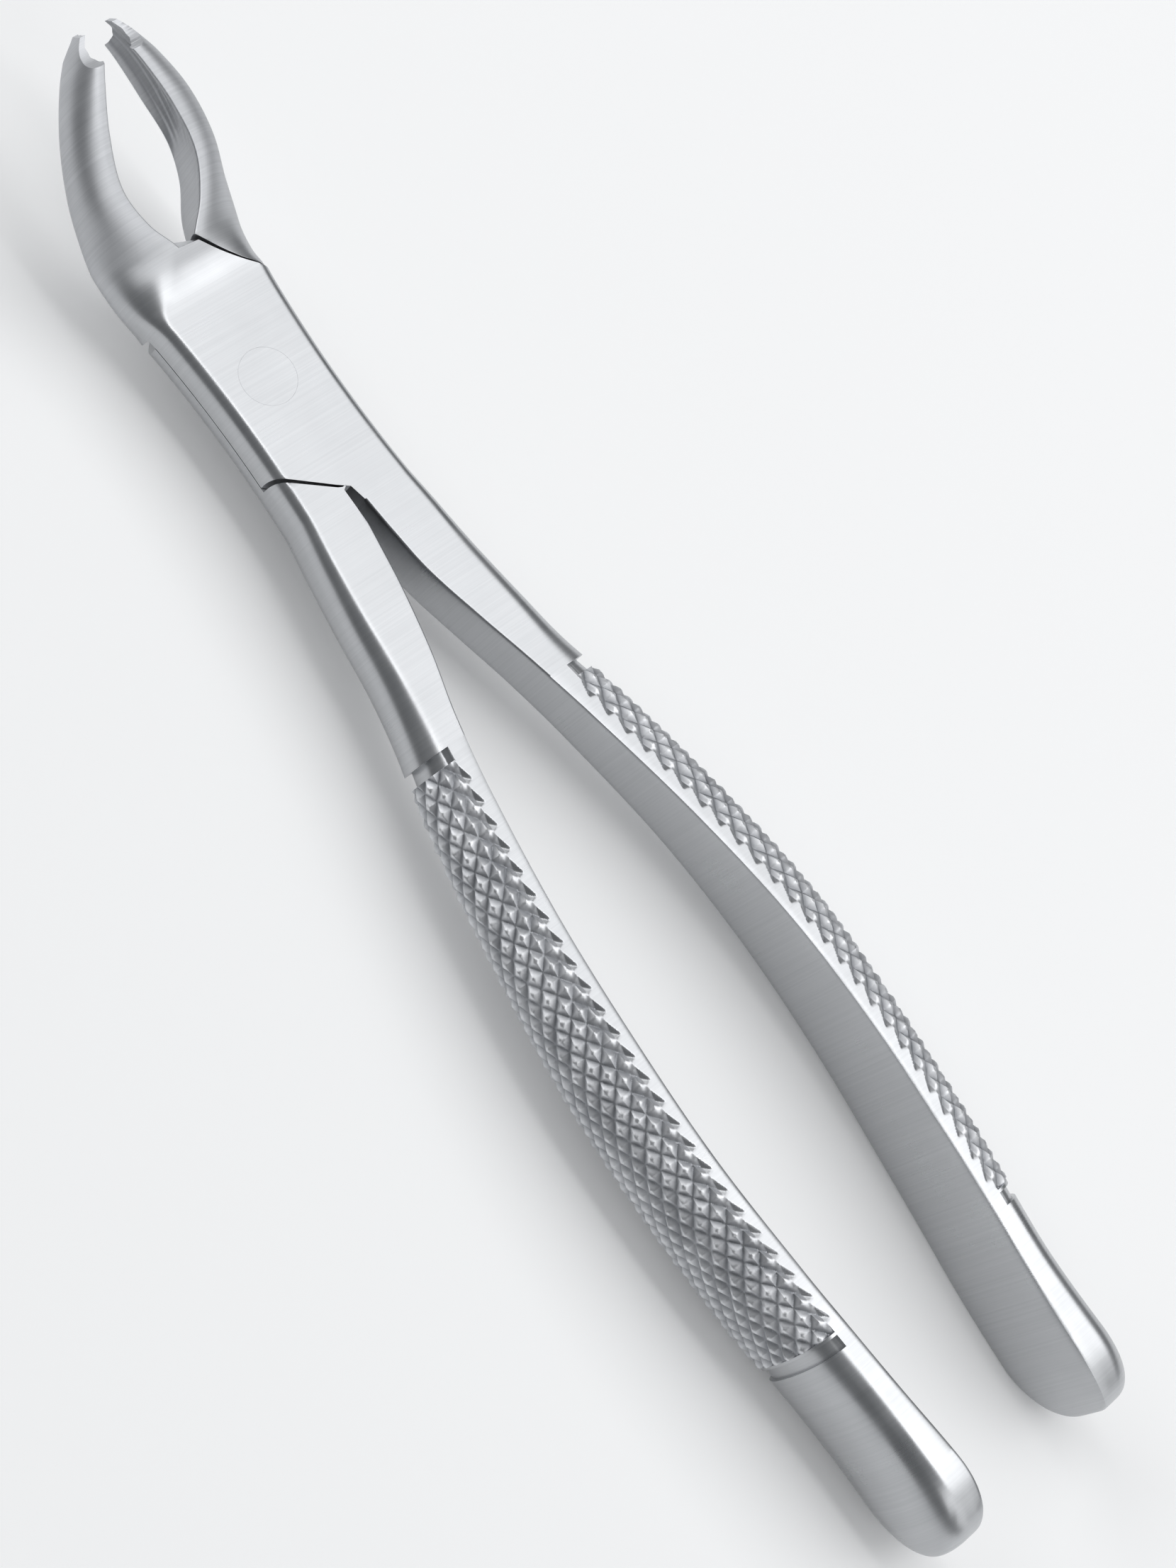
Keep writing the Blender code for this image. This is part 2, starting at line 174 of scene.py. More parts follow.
# Beak stations: centre-line x, centre-line z, inner face y at the front, outer y, depth,
# hollow, power, and how much further back the inner face lies at the rear edge
BEAK = (
    (8.6, 3.15, 0.4, 7.02, 6.3, 0.0, 2.6, 3.0),
    (10.4, 3.22, 0.4, 7.35, 6.33, 0.0, 2.6, 3.05),
    (12.6, 3.55, 0.4, 7.8, 6.4, 0.0, 2.4, 3.2),
    (15.0, 4.4, 0.4, 8.2, 6.6, 0.0, 2.2, 3.4),
    (17.2, 5.7, 0.8, 8.6, 6.7, 0.0, 2.1, 3.4),
    (20.3, 7.8, 3.2, 8.8, 6.4, 0.2, 2.1, 2.1),
    (24.0, 10.3, 4.6, 8.8, 6.0, 0.9, 2.1, 0.7),
    (28.5, 13.3, 3.9, 7.7, 5.8, 1.7, 2.1, 0.0),
    (32.5, 16.0, 2.4, 5.6, 5.5, 1.8, 2.1, 0.1),
    (35.0, 17.7, 1.2, 3.6, 5.1, 1.5, 2.1, 0.1),
    (36.2, 18.5, 0.75, 2.4, 4.8, 1.0, 2.1, 0.0),
)
RIGHT_ROOT_EXTRA = 1.0
RIGHT_ROOT_FADE = 20.0
BEAK_THICK_SHARE = 0.93
BEAK_ROUNDING = 0.17
BEAK_WALL = 0.35
BEAK_INNER_SHARE = 0.10
BEAK_FREE_STEP = 0.7
TILT_REACH = 0.4
LEAN_START = 11.0
LEAN_RUN = 6.0
NOTCH_RADIUS = 4.0
NOTCH_ACROSS = 4.6
NOTCH_AHEAD = 0.66

# Serrations that run along the hollow faces of the beaks
SERRATION_START = 23.0
SERRATION_FADE = 2.5
SERRATION_PITCH = 0.62
SERRATION_DEPTH = 0.14

# How finely each surface is made
BODY_SIDE_STEPS = 72
BODY_STEP = 0.45
BLOCK_STEP = BODY_STEP * 2
BEAK_STEP = BODY_STEP / 2
GRIP_FINE_POINTS = 721
GRIP_OUTER_POINTS = 118
GRIP_STRIP_POINTS = 10
GRIP_INNER_POINTS = 18
GRIP_STEP = 0.15
BAND_STEP = 0.3
PADDLE_STEP = 0.4
END_STEPS = 28
ROUND_SEGMENTS = 128
EDGE_BREAK = 0.10
BREAK_ANGLE = math.radians(48)
BREAK_SHORTEST = 0.02
BREAK_FROM_PIN = 0.5
BREAK_FROM_NECK = 0.1
BREAK_WELD = 0.004
SHARP_ANGLE = math.radians(30)
SKIN_WELD_METRES = 1e-7

# Zones down the lower handle: start, end and step in x, then how far the outer side stands
# off the plain handle, whether it is knurled, and how far it is sunk
GRIP_ZONES = (
    (NECK_START, GRIP_START, BAND_STEP, 0.0, False, NECK_SINK),
    (GRIP_START, GRIP_END, GRIP_STEP, GRIP_RISE, True, 0.0),
    (GRIP_END, GRIP_TAIL_START, BAND_STEP, 0.0, False, 0.0),
    (GRIP_TAIL_START, GRIP_TAIL_END, BAND_STEP, 0.0, False, TAIL_SINK),
    (GRIP_TAIL_END, HANDLE_END + HANDLE_END_ROUND, PADDLE_STEP, 0.0, False, 0.0),
)

# The camera: the point it looks at, how far away it is, how its line of sight leans to the
# left handle's side, and its roll
AIM = Vector((-52.53, -2.08, 7.5)) * MM
VIEW_LEAN = math.radians(30.0)
ROLL = math.radians(35.5)
CAMERA_DISTANCE = 0.350
CAMERA_LENS = 79.2
CLIP_START = 0.01

# Softboxes: name, angle in degrees from +Z towards +Y, distance, length, width, radiance, and
# the angle in degrees at which each leans towards the beaks
SOFTBOXES = (
    ("key_box", -28, 1.0, 0.68, 0.72, 1.33, 13),
    ("key_low", -28, 1.0, 0.62, 0.72, 1.9, -22),
    ("key_tail", -28, 1.0, 0.75, 0.72, 0.8, -62),
    ("end_light", 22, 1.3, 0.5, 0.8, 1.3, -42),
    ("far_light", 10, 1.3, 0.9, 0.9, 2.4, 64),
    ("edge_strip", -5, 1.0, 1.4, 0.10, 4.0, 4),
)
STUDIO_COLOUR = (0.94, 0.97, 1.0, 1.0)
STUDIO_STRENGTH = 0.19

# The floor is a lit table, so it glows a little and its shadows are weak
FLOOR_HALF = 3.0
FLOOR_DROP = 0.00005
FLOOR_COLOUR = (0.87, 0.875, 0.88, 1.0)
FLOOR_ROUGHNESS = 0.9
FLOOR_SPECULAR = 0.1
FLOOR_GLOW_COLOUR = (1.0, 1.0, 1.0, 1.0)
FLOOR_GLOW = 0.10

# Steel colours, each as the lighter and the darker of its streaks; for the knurl, the flats'
# colour and a painted shade for the grooves
LIGHT = (0.555, 0.565, 0.58, 1.0)
DARK = (0.50, 0.51, 0.525, 1.0)
SATIN_LIGHT = (0.60, 0.61, 0.63, 1.0)
SATIN_DARK = (0.53, 0.54, 0.56, 1.0)
KNURL_LIGHT = (0.73, 0.74, 0.76, 1.0)
KNURL_GROOVE_PAINTED_SHADE = (0.24, 0.25, 0.27, 1.0)
BRUSHED_ROUGHNESS = 0.31
KNURLED_ROUGHNESS = 0.41

# The beaks are left with a duller satin: it starts and is full at these x, and is rougher
SATIN_FROM = 11.0
SATIN_TO = 19.0
SATIN_ROUGHER = 0.17

# Painted shade on the side faces, which are left less bright than the front: the sideways part
# of the normal, from where the painted shade starts to where it is full, and how bright they are
# left
SIDE_FROM = 0.55
SIDE_TO = 0.85
SIDE_PAINTED_SHADE_SHARE = 0.88

# Noise scales per metre along X, Y and Z: ground streaks, longer scratches and soft clouds
BRUSHED_FINE = (9000, 60, 60)
BRUSHED_LONG = (3600, 20, 20)
BRUSHED_CLOUD = (160, 160, 160)
KNURLED_FINE = (7000, 90, 90)
KNURLED_GRIT = (5200, 5200, 5200)
KNURLED_CLOUD = (220, 220, 220)
FINE_SHARE = 0.55

# Heights in metres that the bump of each noise stands for
BRUSHED_FINE_BUMP = 0.000003
BRUSHED_LONG_BUMP = 0.000002
KNURLED_FINE_BUMP = 0.000006
KNURLED_GRIT_BUMP = 0.00002
KNURLED_GRIT_STRENGTH = 0.6

# How a noise or the knurl's height, between the first two numbers, is spread between the last
# two: as the share of the lighter colour, or as what is added to the roughness
GROUND_STREAKS = (0.35, 0.65, 0.0, 1.0)
SATIN_STREAKS = (0.38, 0.62, 0.0, 1.0)
BRUSHED_CLOUD_ROUGH = (0.3, 0.7, -0.04, 0.05)
BRUSHED_FINE_ROUGH = (0.3, 0.7, -0.015, 0.015)
# Painted shade: the knurl's height darkens its grooves
KNURLED_GROOVE_PAINTED_SHADE = (0.0, 0.9, 0.0, 0.75)
KNURLED_CLOUD_SHADE = (0.3, 0.7, 0.0, 0.25)
KNURLED_HEIGHT_ROUGH = (0.2, 1.0, 0.12, 0.0)
KNURLED_GRIT_ROUGH = (0.3, 0.7, -0.05, 0.07)

# Where a colour mix node keeps its sockets
MIX_FACTOR = 0
MIX_FIRST = 6
MIX_SECOND = 7
MIX_RESULT = 2

rng = np.random.default_rng(KNURL_SEED)


def smooth_value(rows, column, x):
    """Cubic through the stations, by finite-difference slopes."""
    if rows[0][0] > rows[-1][0]:
        rows = rows[::-1]
    xs = [row[0] for row in rows]
    ys = [row[column] for row in rows]
    if x <= xs[0]:
        return ys[0]
    if x >= xs[-1]:
        return ys[-1]
    i = max(k for k in range(len(xs) - 1) if xs[k] <= x)
    step = xs[i + 1] - xs[i]

    def slope(k):
        low, high = max(k - 1, 0), min(k + 1, len(xs) - 1)
        return (ys[high] - ys[low]) / (xs[high] - xs[low])

    s = (x - xs[i]) / step
    return (
        ys[i] * (2 * s**3 - 3 * s**2 + 1)
        + slope(i) * step * (s**3 - 2 * s**2 + s)
        + ys[i + 1] * (3 * s**2 - 2 * s**3)
        + slope(i + 1) * step * (s**3 - s**2)
    )


def spread(start, stop, step):
    count = max(1, math.ceil(abs(stop - start) / step))
    return [start + (stop - start) * k / count for k in range(count + 1)]


def outline_of(up, bulge, power, hollow=0.0, skew=0.0):
    """How far out a section's side stands at each height, from -1 at the back to 1."""
    out = bulge * np.maximum(0.0, 1 - np.abs(up) ** power) ** (1 / power)
    out = out - hollow * np.maximum(0.0, 1 - (up / HOLLOW_SPAN) ** 2) ** HOLLOW_POWER
    return out - skew * (1 - up) / 2


def ring(centre, tilt, left, right, half_depth, serration=0.0):
    """One closed section.  left and right are (flat edge y, bulge, power, hollow, skew)."""
    up = np.sin(np.linspace(math.pi / 2, -math.pi / 2, BODY_SIDE_STEPS + 1))
    points = []
    for sign, (flat_y, *shape) in ((1, left), (-1, right)):
        out = outline_of(up, *shape)
        if serration and len(shape) > 2 and shape[2] > 0:
            phase = up * half_depth / SERRATION_PITCH
            ridge = np.abs(phase - np.round(phase)) * 2
            out = out - serration * ridge * (np.abs(up) < HOLLOW_SPAN)
        heights = up * half_depth
        if sign < 0:
            out, heights = out[::-1], heights[::-1]
        x = centre[0] - heights * math.sin(tilt)
        z = centre[1] + heights * math.cos(tilt)
        points.append(np.column_stack([x, flat_y + sign * out, z]))
    return np.concatenate(points)


def block_side(x, side):
    """The plain side of the joint block, which flares a little towards both ends."""
    half_width = JOINT_LEFT if side > 0 else JOINT_RIGHT
    half_width += JOINT_FLARE * (x - JOINT_WAIST_X) ** 2
    return (side * (half_width - BLOCK_CORNER), BLOCK_CORNER, BLOCK_POWER)


def block_ring(x):
    return ring((x, PARTING_Z), 0.0, block_side(x, 1), block_side(x, -1), JOINT_DEPTH / 2)


def handle_section(x, side, offset):
    """(inner face y, front flat, bulge, half depth, power) of a handle at x."""
    inner, flat, bulge, depth, power, sway = (
        smooth_value(HANDLE, c, x) for c in range(1, 7)
    )
    inner += sway * side
    half_depth = depth / 2
    bulge += offset
    shrink = 0.0
    if x < HANDLE_END + HANDLE_END_ROUND:
        s = (HANDLE_END + HANDLE_END_ROUND - x) / HANDLE_END_ROUND
        shrink = 1 - math.sqrt(max(0.0, 1 - s * s))
    width = inner + flat + bulge
    inner += shrink * END_SHRINK_INNER * (width - inner)
    flat *= 1 - END_SHRINK_FLAT * shrink
    bulge *= 1 - END_SHRINK_BULGE * shrink
    half_depth *= 1 - END_SHRINK_DEPTH * shrink
    return inner, flat, bulge, half_depth, power


def shank_ring(x, side):
    """Section of the plain shank of a handle; side is +1 for the left handle."""
    rise = SHANK_RISE * max(0.0, min(1.0, (NECK_START + SHANK_RUN - x) / SHANK_RUN))
    inner, flat, bulge, half_depth, power = handle_section(x, side, rise)
    inner_side = (inner + INNER_CORNER, INNER_CORNER, INNER_POWER)
    outer_side = (inner + flat, bulge, power)
    if side > 0:
        left, right = outer_side, inner_side
    else:
        left = (-inner_side[0],) + inner_side[1:]
        right = (-outer_side[0],) + outer_side[1:]
    return ring((x, PARTING_Z), 0.0, left, right, half_depth)


def beak_tilt(x):
    """Angle of the beak's centre line above the X axis."""
    x = min(x, BEAK[-1][0] - TILT_REACH)
    rise = smooth_value(BEAK, 1, x + TILT_REACH) - smooth_value(BEAK, 1, x - TILT_REACH)
    return math.atan2(rise, 2 * TILT_REACH)


def beak_ring(x, side, rooted=False):
    """Section of a beak, square to its centre line; side is +1 for the left beak."""
    z, inner, outer, depth, hollow, power, skew = (
        smooth_value(BEAK, c, x) for c in range(1, 8)
    )
    if side < 0:
        fade = (RIGHT_ROOT_FADE - x) / (RIGHT_ROOT_FADE - BEAK[0][0])
        outer += RIGHT_ROOT_EXTRA * max(0.0, min(1.0, fade))
    thick = outer - inner
    lean = skew * max(0.0, min(1.0, (x - LEAN_START) / LEAN_RUN))
    inner_bulge = min(BEAK_INNER_SHARE * thick, INNER_CORNER)
    bulge = min(
        BEAK_THICK_SHARE * thick,
        BLOCK_CORNER + BEAK_ROUNDING * max(0.0, x - BEAK[0][0]) ** 2,
        thick - inner_bulge - skew - BEAK_WALL + lean / 2,
    )
    inner_side = (inner + inner_bulge, inner_bulge, INNER_POWER, hollow, skew)
    outer_side = (outer - bulge - lean / 2, bulge, power, 0.0, -lean)
    if side > 0:
        left, right = outer_side, inner_side
        if rooted:
            right = block_side(x, -1)
    else:
        left = (-inner_side[0],) + inner_side[1:]
        right = (-outer_side[0],) + outer_side[1:]
        if rooted:
            left = block_side(x, 1)
    cut_in = max(0.0, min(1.0, (x - SERRATION_START) / SERRATION_FADE))
    return ring((x, z), beak_tilt(x), left, right, depth / 2, SERRATION_DEPTH * cut_in)


def loft(name, rings):
    """A closed mesh object skinned over equal rings, in metres."""
    count = len(rings[0])
    faces = []
    for i in range(len(rings) - 1):
        for k in range(count):
            a = i * count + k
            b = i * count + (k + 1) % count
            faces.append((a, b, b + count, a + count))
    faces.append(tuple(range(count))[::-1])
    faces.append(tuple(range((len(rings) - 1) * count, len(rings) * count)))
    return made(name, np.concatenate(rings) * MM, faces)


def made(name, verts, faces):
    """An object from vertices in metres, welded and with its faces turned outwards."""
    mesh = bpy.data.meshes.new(name)
    mesh.from_pydata(verts.tolist(), [], faces)
    bm = bmesh.new()
    bm.from_mesh(mesh)
    bmesh.ops.remove_doubles(bm, verts=bm.verts, dist=SKIN_WELD_METRES)
    bmesh.ops.recalc_face_normals(bm, faces=bm.faces)
    bm.to_mesh(mesh)
    bm.free()
    obj = bpy.data.objects.new(name, mesh)
    bpy.context.scene.collection.objects.link(obj)
    return obj


def prism(name, outline, low, high):
    """A cutter with a straight-sided outline between two heights."""
    count = len(outline)
    verts = np.array([(x, y, z) for z in (low, high) for x, y in outline]) * MM
    faces = [(k, (k + 1) % count, count + (k + 1) % count, count + k) for k in range(count)]
    faces.append(tuple(range(count))[::-1])
    faces.append(tuple(range(count, 2 * count)))
    return made(name, verts, faces)


def turned(name, profile):
    """A solid of revolution about the pivot axis from (radius, z) pairs."""
    angles = np.arange(ROUND_SEGMENTS) * 2 * math.pi / ROUND_SEGMENTS
    rings = []
    for radius, z in profile:
        heights = np.full(ROUND_SEGMENTS, z)
        rings.append(np.column_stack([radius * np.cos(angles), radius * np.sin(angles), heights]))
    return loft(name, rings)


def mirrored(points):
    """The same outline on the other side of the long axis."""
    return [(x, -y) for x, y in points]


def beyond_edges(upper, lower, fork):
    """Outlines of what lies past a plate's two edges and belongs to the other half."""
    (ux0, uy0), (ux1, uy1) = upper
    (lx0, ly0), (lx1, ly1) = lower
    half = CROTCH_GAP / 2
    above = [
        (ux0 - OVERSHOOT * SLOPE_RUN, uy0 - OVERSHOOT),
        (ux1, uy1),
        (ux1 + CROTCH_CORNER_UP, half - CORNER_INSET),
        (REACH, half - CORNER_INSET),
        (REACH, -REACH),
        (ux0 - OVERSHOOT * SLOPE_RUN, -REACH),
    ]
    below = [
        (lx0 + OVERSHOOT * SLOPE_RUN, ly0 + OVERSHOOT),
        (lx1, ly1),
        (lx1 - CROTCH_CORNER_DOWN, -half),
        (FORK_X, -fork),
        (-REACH, -fork),
        (-REACH, REACH),
        (lx0 + OVERSHOOT * SLOPE_RUN, REACH),
    ]
    return above, below


def between_shoulders(upper, lower, past):
    """Outline of one layer of the joint, between the two shoulders that face its plate."""
    (ux0, uy0), (ux1, uy1) = upper
    (lx0, ly0), (lx1, ly1) = lower
    half = CROTCH_GAP / 2
    return [
        (ux0 - OVERSHOOT * SLOPE_RUN, uy0 - OVERSHOOT),
        (ux1, uy1),
        (ux1 + past, -half),
        (ux1 + past, WIDE),
        (lx0 + OVERSHOOT * SLOPE_RUN, WIDE),
        (lx0, ly0),
        (lx1, ly1),
        (lx1 - CORNER_INSET, half),
        (lx1 - CORNER_INSET, -WIDE),
        (ux0 - OVERSHOOT * SLOPE_RUN, -WIDE),
    ]


def tip_cutters():
    """Two round cutters that leave a point in the middle of each beak's end."""
    x, z = BEAK[-1][0], BEAK[-1][1]
    tilt = beak_tilt(x)
    cutters = []
    for side in (1, -1):
        across = side * NOTCH_ACROSS
        middle_x = x + NOTCH_AHEAD * math.cos(tilt) - across * math.sin(tilt)
        middle_z = z + NOTCH_AHEAD * math.sin(tilt) + across * math.cos(tilt)
        angles = np.arange(ROUND_SEGMENTS) * 2 * math.pi / ROUND_SEGMENTS
        outline = [(NOTCH_RADIUS * math.cos(a), NOTCH_RADIUS * math.sin(a)) for a in angles]
        cutter = prism("tip_cutter", outline, -WIDE, WIDE)
        turn = Matrix.Rotation(math.pi / 2, 4, "X")
        cutter.data.transform(Matrix.Translation((middle_x * MM, 0.0, middle_z * MM)) @ turn)
        cutters.append(cutter)
    return cutters


def bore_profile():
    radius = PIN_RADIUS + PIN_RING
    return [(radius, -BORE_OVERSHOOT), (radius, JOINT_DEPTH + BORE_OVERSHOOT)]


def subtract(obj, cutters):
    """Cuts every cutter from obj and leaves the result in its mesh."""
    for cutter in cutters:
        modifier = obj.modifiers.new("cut", "BOOLEAN")
        modifier.operation = "DIFFERENCE"
        modifier.solver = "MANIFOLD"
        modifier.object = cutter
    graph = bpy.context.evaluated_depsgraph_get()
    mesh = bpy.data.meshes.new_from_object(obj.evaluated_get(graph))
    obj.modifiers.clear()
    obj.data = mesh


def uneven(first, second):
    """A fixed pseudo-random number from 0 to 1 for each diamond of the knurl."""
    cell = np.sin(np.floor(first) * HASH_FIRST + np.floor(second) * HASH_SECOND) * HASH_SCALE
    return cell - np.floor(cell)


def groove(rise, flat, from_edge):
    """The share of one family of grooves, which runs out towards one edge of the grip."""
    return (1 - np.minimum(rise, flat) / flat) * np.clip(from_edge / SINK_RAMP, 0, 1)


def knurl(x, s, length):
    """How far the cut goes below the top at x and arc length s, as a share, and the tilt.

    The share is 1 in the bottom of a groove and 0 on the flat of a diamond.  Only the grooves
    that slope towards the handle's end run out over an edge.
    """
    turn = s / KNURL_AROUND + KNURL_PHASE
    first = x / KNURL_ALONG + turn
    second = x / KNURL_ALONG - turn
    rise_first = 2 * np.abs(first - np.round(first))
    rise_second = 2 * np.abs(second - np.round(second))
    # Each diamond is cut to its own height, so its flat is wider or narrower
    flat = KNURL_FLAT + KNURL_UNEVEN * (uneven(first, second) - 0.5)
    share_first = groove(rise_first, flat, s)
    share_second = groove(rise_second, flat, length - s)
    along = (first - np.floor(first) + second - np.floor(second) - 1) / 2 * KNURL_ALONG
    rise = np.minimum(rise_first, rise_second)
    return np.maximum(share_first, share_second), along * np.minimum(1.0, rise / flat)


def grip_ring(x, side, offset, knurled, sunk):
    """Section of the lower handle, with the outer side cut to diamonds or sunk.

    Returns the points and how high each one stands, from 0 in a groove to 1.
    """
    inner, flat, bulge, half_depth, power = handle_section(x, side, offset)
    up = np.sin(np.linspace(math.pi / 2, -math.pi / 2, GRIP_FINE_POINTS))
    fine_y = outline_of(up, bulge, power)
    fine_z = up * half_depth
    runout = min(KNURL_RUNOUT, KNURL_RUNOUT_SHARE * flat)
    fine_y = np.concatenate([[-runout], fine_y, [-runout]])
    fine_z = np.concatenate([[half_depth], fine_z, [-half_depth]])
    steps = np.hypot(np.diff(fine_y), np.diff(fine_z))
    arc = np.concatenate([[0.0], np.cumsum(steps)]) - runout
    length = arc[-1] - runout
    strip = np.linspace(-runout, -KNURL_EDGE, GRIP_STRIP_POINTS)
    s = np.concatenate(
        [strip, np.linspace(0.0, length, GRIP_OUTER_POINTS), length - strip[::-1]]
    )
    y = np.interp(s, arc, fine_y)
    z = np.interp(s, arc, fine_z)
    tangent_y = np.gradient(y, s)
    tangent_z = np.gradient(z, s)
    size = np.hypot(tangent_y, tangent_z)
    normal_y, normal_z = -tangent_z / size, tangent_y / size
    past = np.maximum(0.0, np.maximum(-s, s - length))
    normal_y[past > 0] = 0.0
    normal_z[past > 0] = np.where(s[past > 0] < length / 2, 1.0, -1.0)
    height = np.ones(len(s))
    if knurled:
        share, along = knurl(x, s, length)
        inside = np.clip(np.minimum(s, length - s) / SINK_RAMP, 0.0, 1.0)
        grit = KNURL_ROUGH * (rng.random(len(s)) - 0.5) * (1 - share)
        depth = KNURL_DEPTH * (KNURL_EDGE_SHARE + (1 - KNURL_EDGE_SHARE) * inside)
        sink = depth * share + inside * (grit - KNURL_TILT * along)
        from_ends = min(GRIP_START - x, x - GRIP_END) / KNURL_RUNOUT_FADE
        runout_depth = depth * share * max(0.0, min(1.0, from_ends))
        sink = np.where(past > 0, runout_depth - KNURL_RUNOUT_SLOPE * past, sink)
        sink = np.maximum(sink, np.where(past > 0, 0.0, -KNURL_TILT))
        height = 1 - np.clip(sink / KNURL_DEPTH, 0.0, 1.0)
    else:
        ramp = np.clip(np.minimum(s, length - s) / SINK_RAMP, 0.0, 1.0)
        sink = np.where(past > 0, 0.0, sunk * np.sqrt(ramp))
    y = y - sink * normal_y
    z = z - sink * normal_z
    inner_up = np.sin(np.linspace(-math.pi / 2, math.pi / 2, GRIP_INNER_POINTS))
    inner_y = INNER_CORNER - outline_of(inner_up, INNER_CORNER, INNER_POWER)
    ys = np.concatenate([inner + flat + y, inner + inner_y])
    zs = np.concatenate([z, inner_up * half_depth])
    points = np.column_stack([np.full(len(ys), x), side * ys, PARTING_Z + zs])
    return points, np.concatenate([height, np.ones(GRIP_INNER_POINTS)])


def grip(name, side):
    """The lower handle from the neck to its rounded end; +1 is the left handle."""
    stations = [(NECK_START, 0.0, False, 0.0)]
    for start, stop, step, *look in GRIP_ZONES:
        stations += [(x, *look) for x in spread(start - TINY, stop, step)]
    for k in range(1, END_STEPS + 1):
        s = math.sin(math.pi / 2 * k / END_STEPS)
        stations.append((HANDLE_END + HANDLE_END_ROUND * (1 - s), 0.0, False, 0.0))
    made_rings = [grip_ring(x, side, *look) for x, *look in stations]
    obj = loft_plain(name, [points for points, _ in made_rings])
    height = obj.data.attributes.new("height", "FLOAT", "POINT")
    height.data.foreach_set("value", np.concatenate([h for _, h in made_rings]))
    around = np.arange(len(made_rings[0][0]))
    outer_end = GRIP_STRIP_POINTS + GRIP_OUTER_POINTS
    outer = (around >= GRIP_STRIP_POINTS - 1) & (around < outer_end)
    cut = np.array([station[2] for station in stations[:-1]])
    index = (cut[:, None] & outer[None, :]).astype(np.int32).reshape(-1)
    obj.data.polygons.foreach_set("material_index", np.concatenate([index, [0, 0]]))
    return obj


def loft_plain(name, rings):
    """A closed skin over the rings that keeps every vertex in its place and order."""
    count = len(rings[0])
    a = np.arange(count)
    b = (a + 1) % count
    starts = np.arange(len(rings) - 1)[:, None] * count
    quads = np.stack(
        [starts + a, starts + b, starts + b + count, starts + a + count], axis=-1
    ).reshape(-1, 4)
    faces = quads.tolist()
    faces.append(list(range(count))[::-1])
    faces.append(list(range((len(rings) - 1) * count, len(rings) * count)))
    mesh = bpy.data.meshes.new(name)
    mesh.from_pydata((np.concatenate(rings) * MM).tolist(), [], faces)
    obj = bpy.data.objects.new(name, mesh)
    bpy.context.scene.collection.objects.link(obj)
    if signed_volume(mesh) < 0:
        mesh.flip_normals()
    return obj


def signed_volume(mesh):
    """Six times the volume inside a mesh, negative if its faces point inwards."""
    mesh.calc_loop_triangles()
    corners = [[mesh.vertices[v].co[:] for v in t.vertices] for t in mesh.loop_triangles]
    return np.linalg.det(np.array(corners)).sum()


def break_edges(obj):
    """Takes the sharpness off the edges of the shoulders, away from the pin and the neck."""
    bm = bmesh.new()
    bm.from_mesh(obj.data)
    bmesh.ops.remove_doubles(bm, verts=bm.verts, dist=BREAK_WELD * MM)
    bmesh.ops.dissolve_degenerate(bm, edges=bm.edges, dist=BREAK_WELD * MM)
    chosen = []
    for edge in bm.edges:
        if len(edge.link_faces) != 2 or edge.calc_length() < BREAK_SHORTEST * MM:
            continue
        low = min(v.co.x for v in edge.verts)
        from_pin = max(v.co.xy.length for v in edge.verts)
        if from_pin < (PIN_RADIUS + BREAK_FROM_PIN) * MM:
            continue
        if low > (NECK_START + BREAK_FROM_NECK) * MM and edge.calc_face_angle() > BREAK_ANGLE:
            chosen.append(edge)
    bmesh.ops.bevel(
        bm,
        geom=chosen,
        offset=EDGE_BREAK * MM,
        offset_type="OFFSET",
        segments=2,
        profile=0.5,
        affect="EDGES",
        clamp_overlap=True,
    )
    bm.to_mesh(obj.data)
    bm.free()


def joined(name, objects):
    """One object from several closed skins, each with its own material numbers."""
    bm = bmesh.new()
    for obj in objects:
        bm.from_mesh(obj.data)
    mesh = bpy.data.meshes.new(name)
    bm.to_mesh(mesh)
    bm.free()
    for obj in objects:
        bpy.data.objects.remove(obj)
    piece = bpy.data.objects.new(name, mesh)
    bpy.context.scene.collection.objects.link(piece)
    return piece


def smooth_shade(mesh):
    mesh.shade_smooth()
    mesh.set_sharp_from_angle(angle=SHARP_ANGLE)


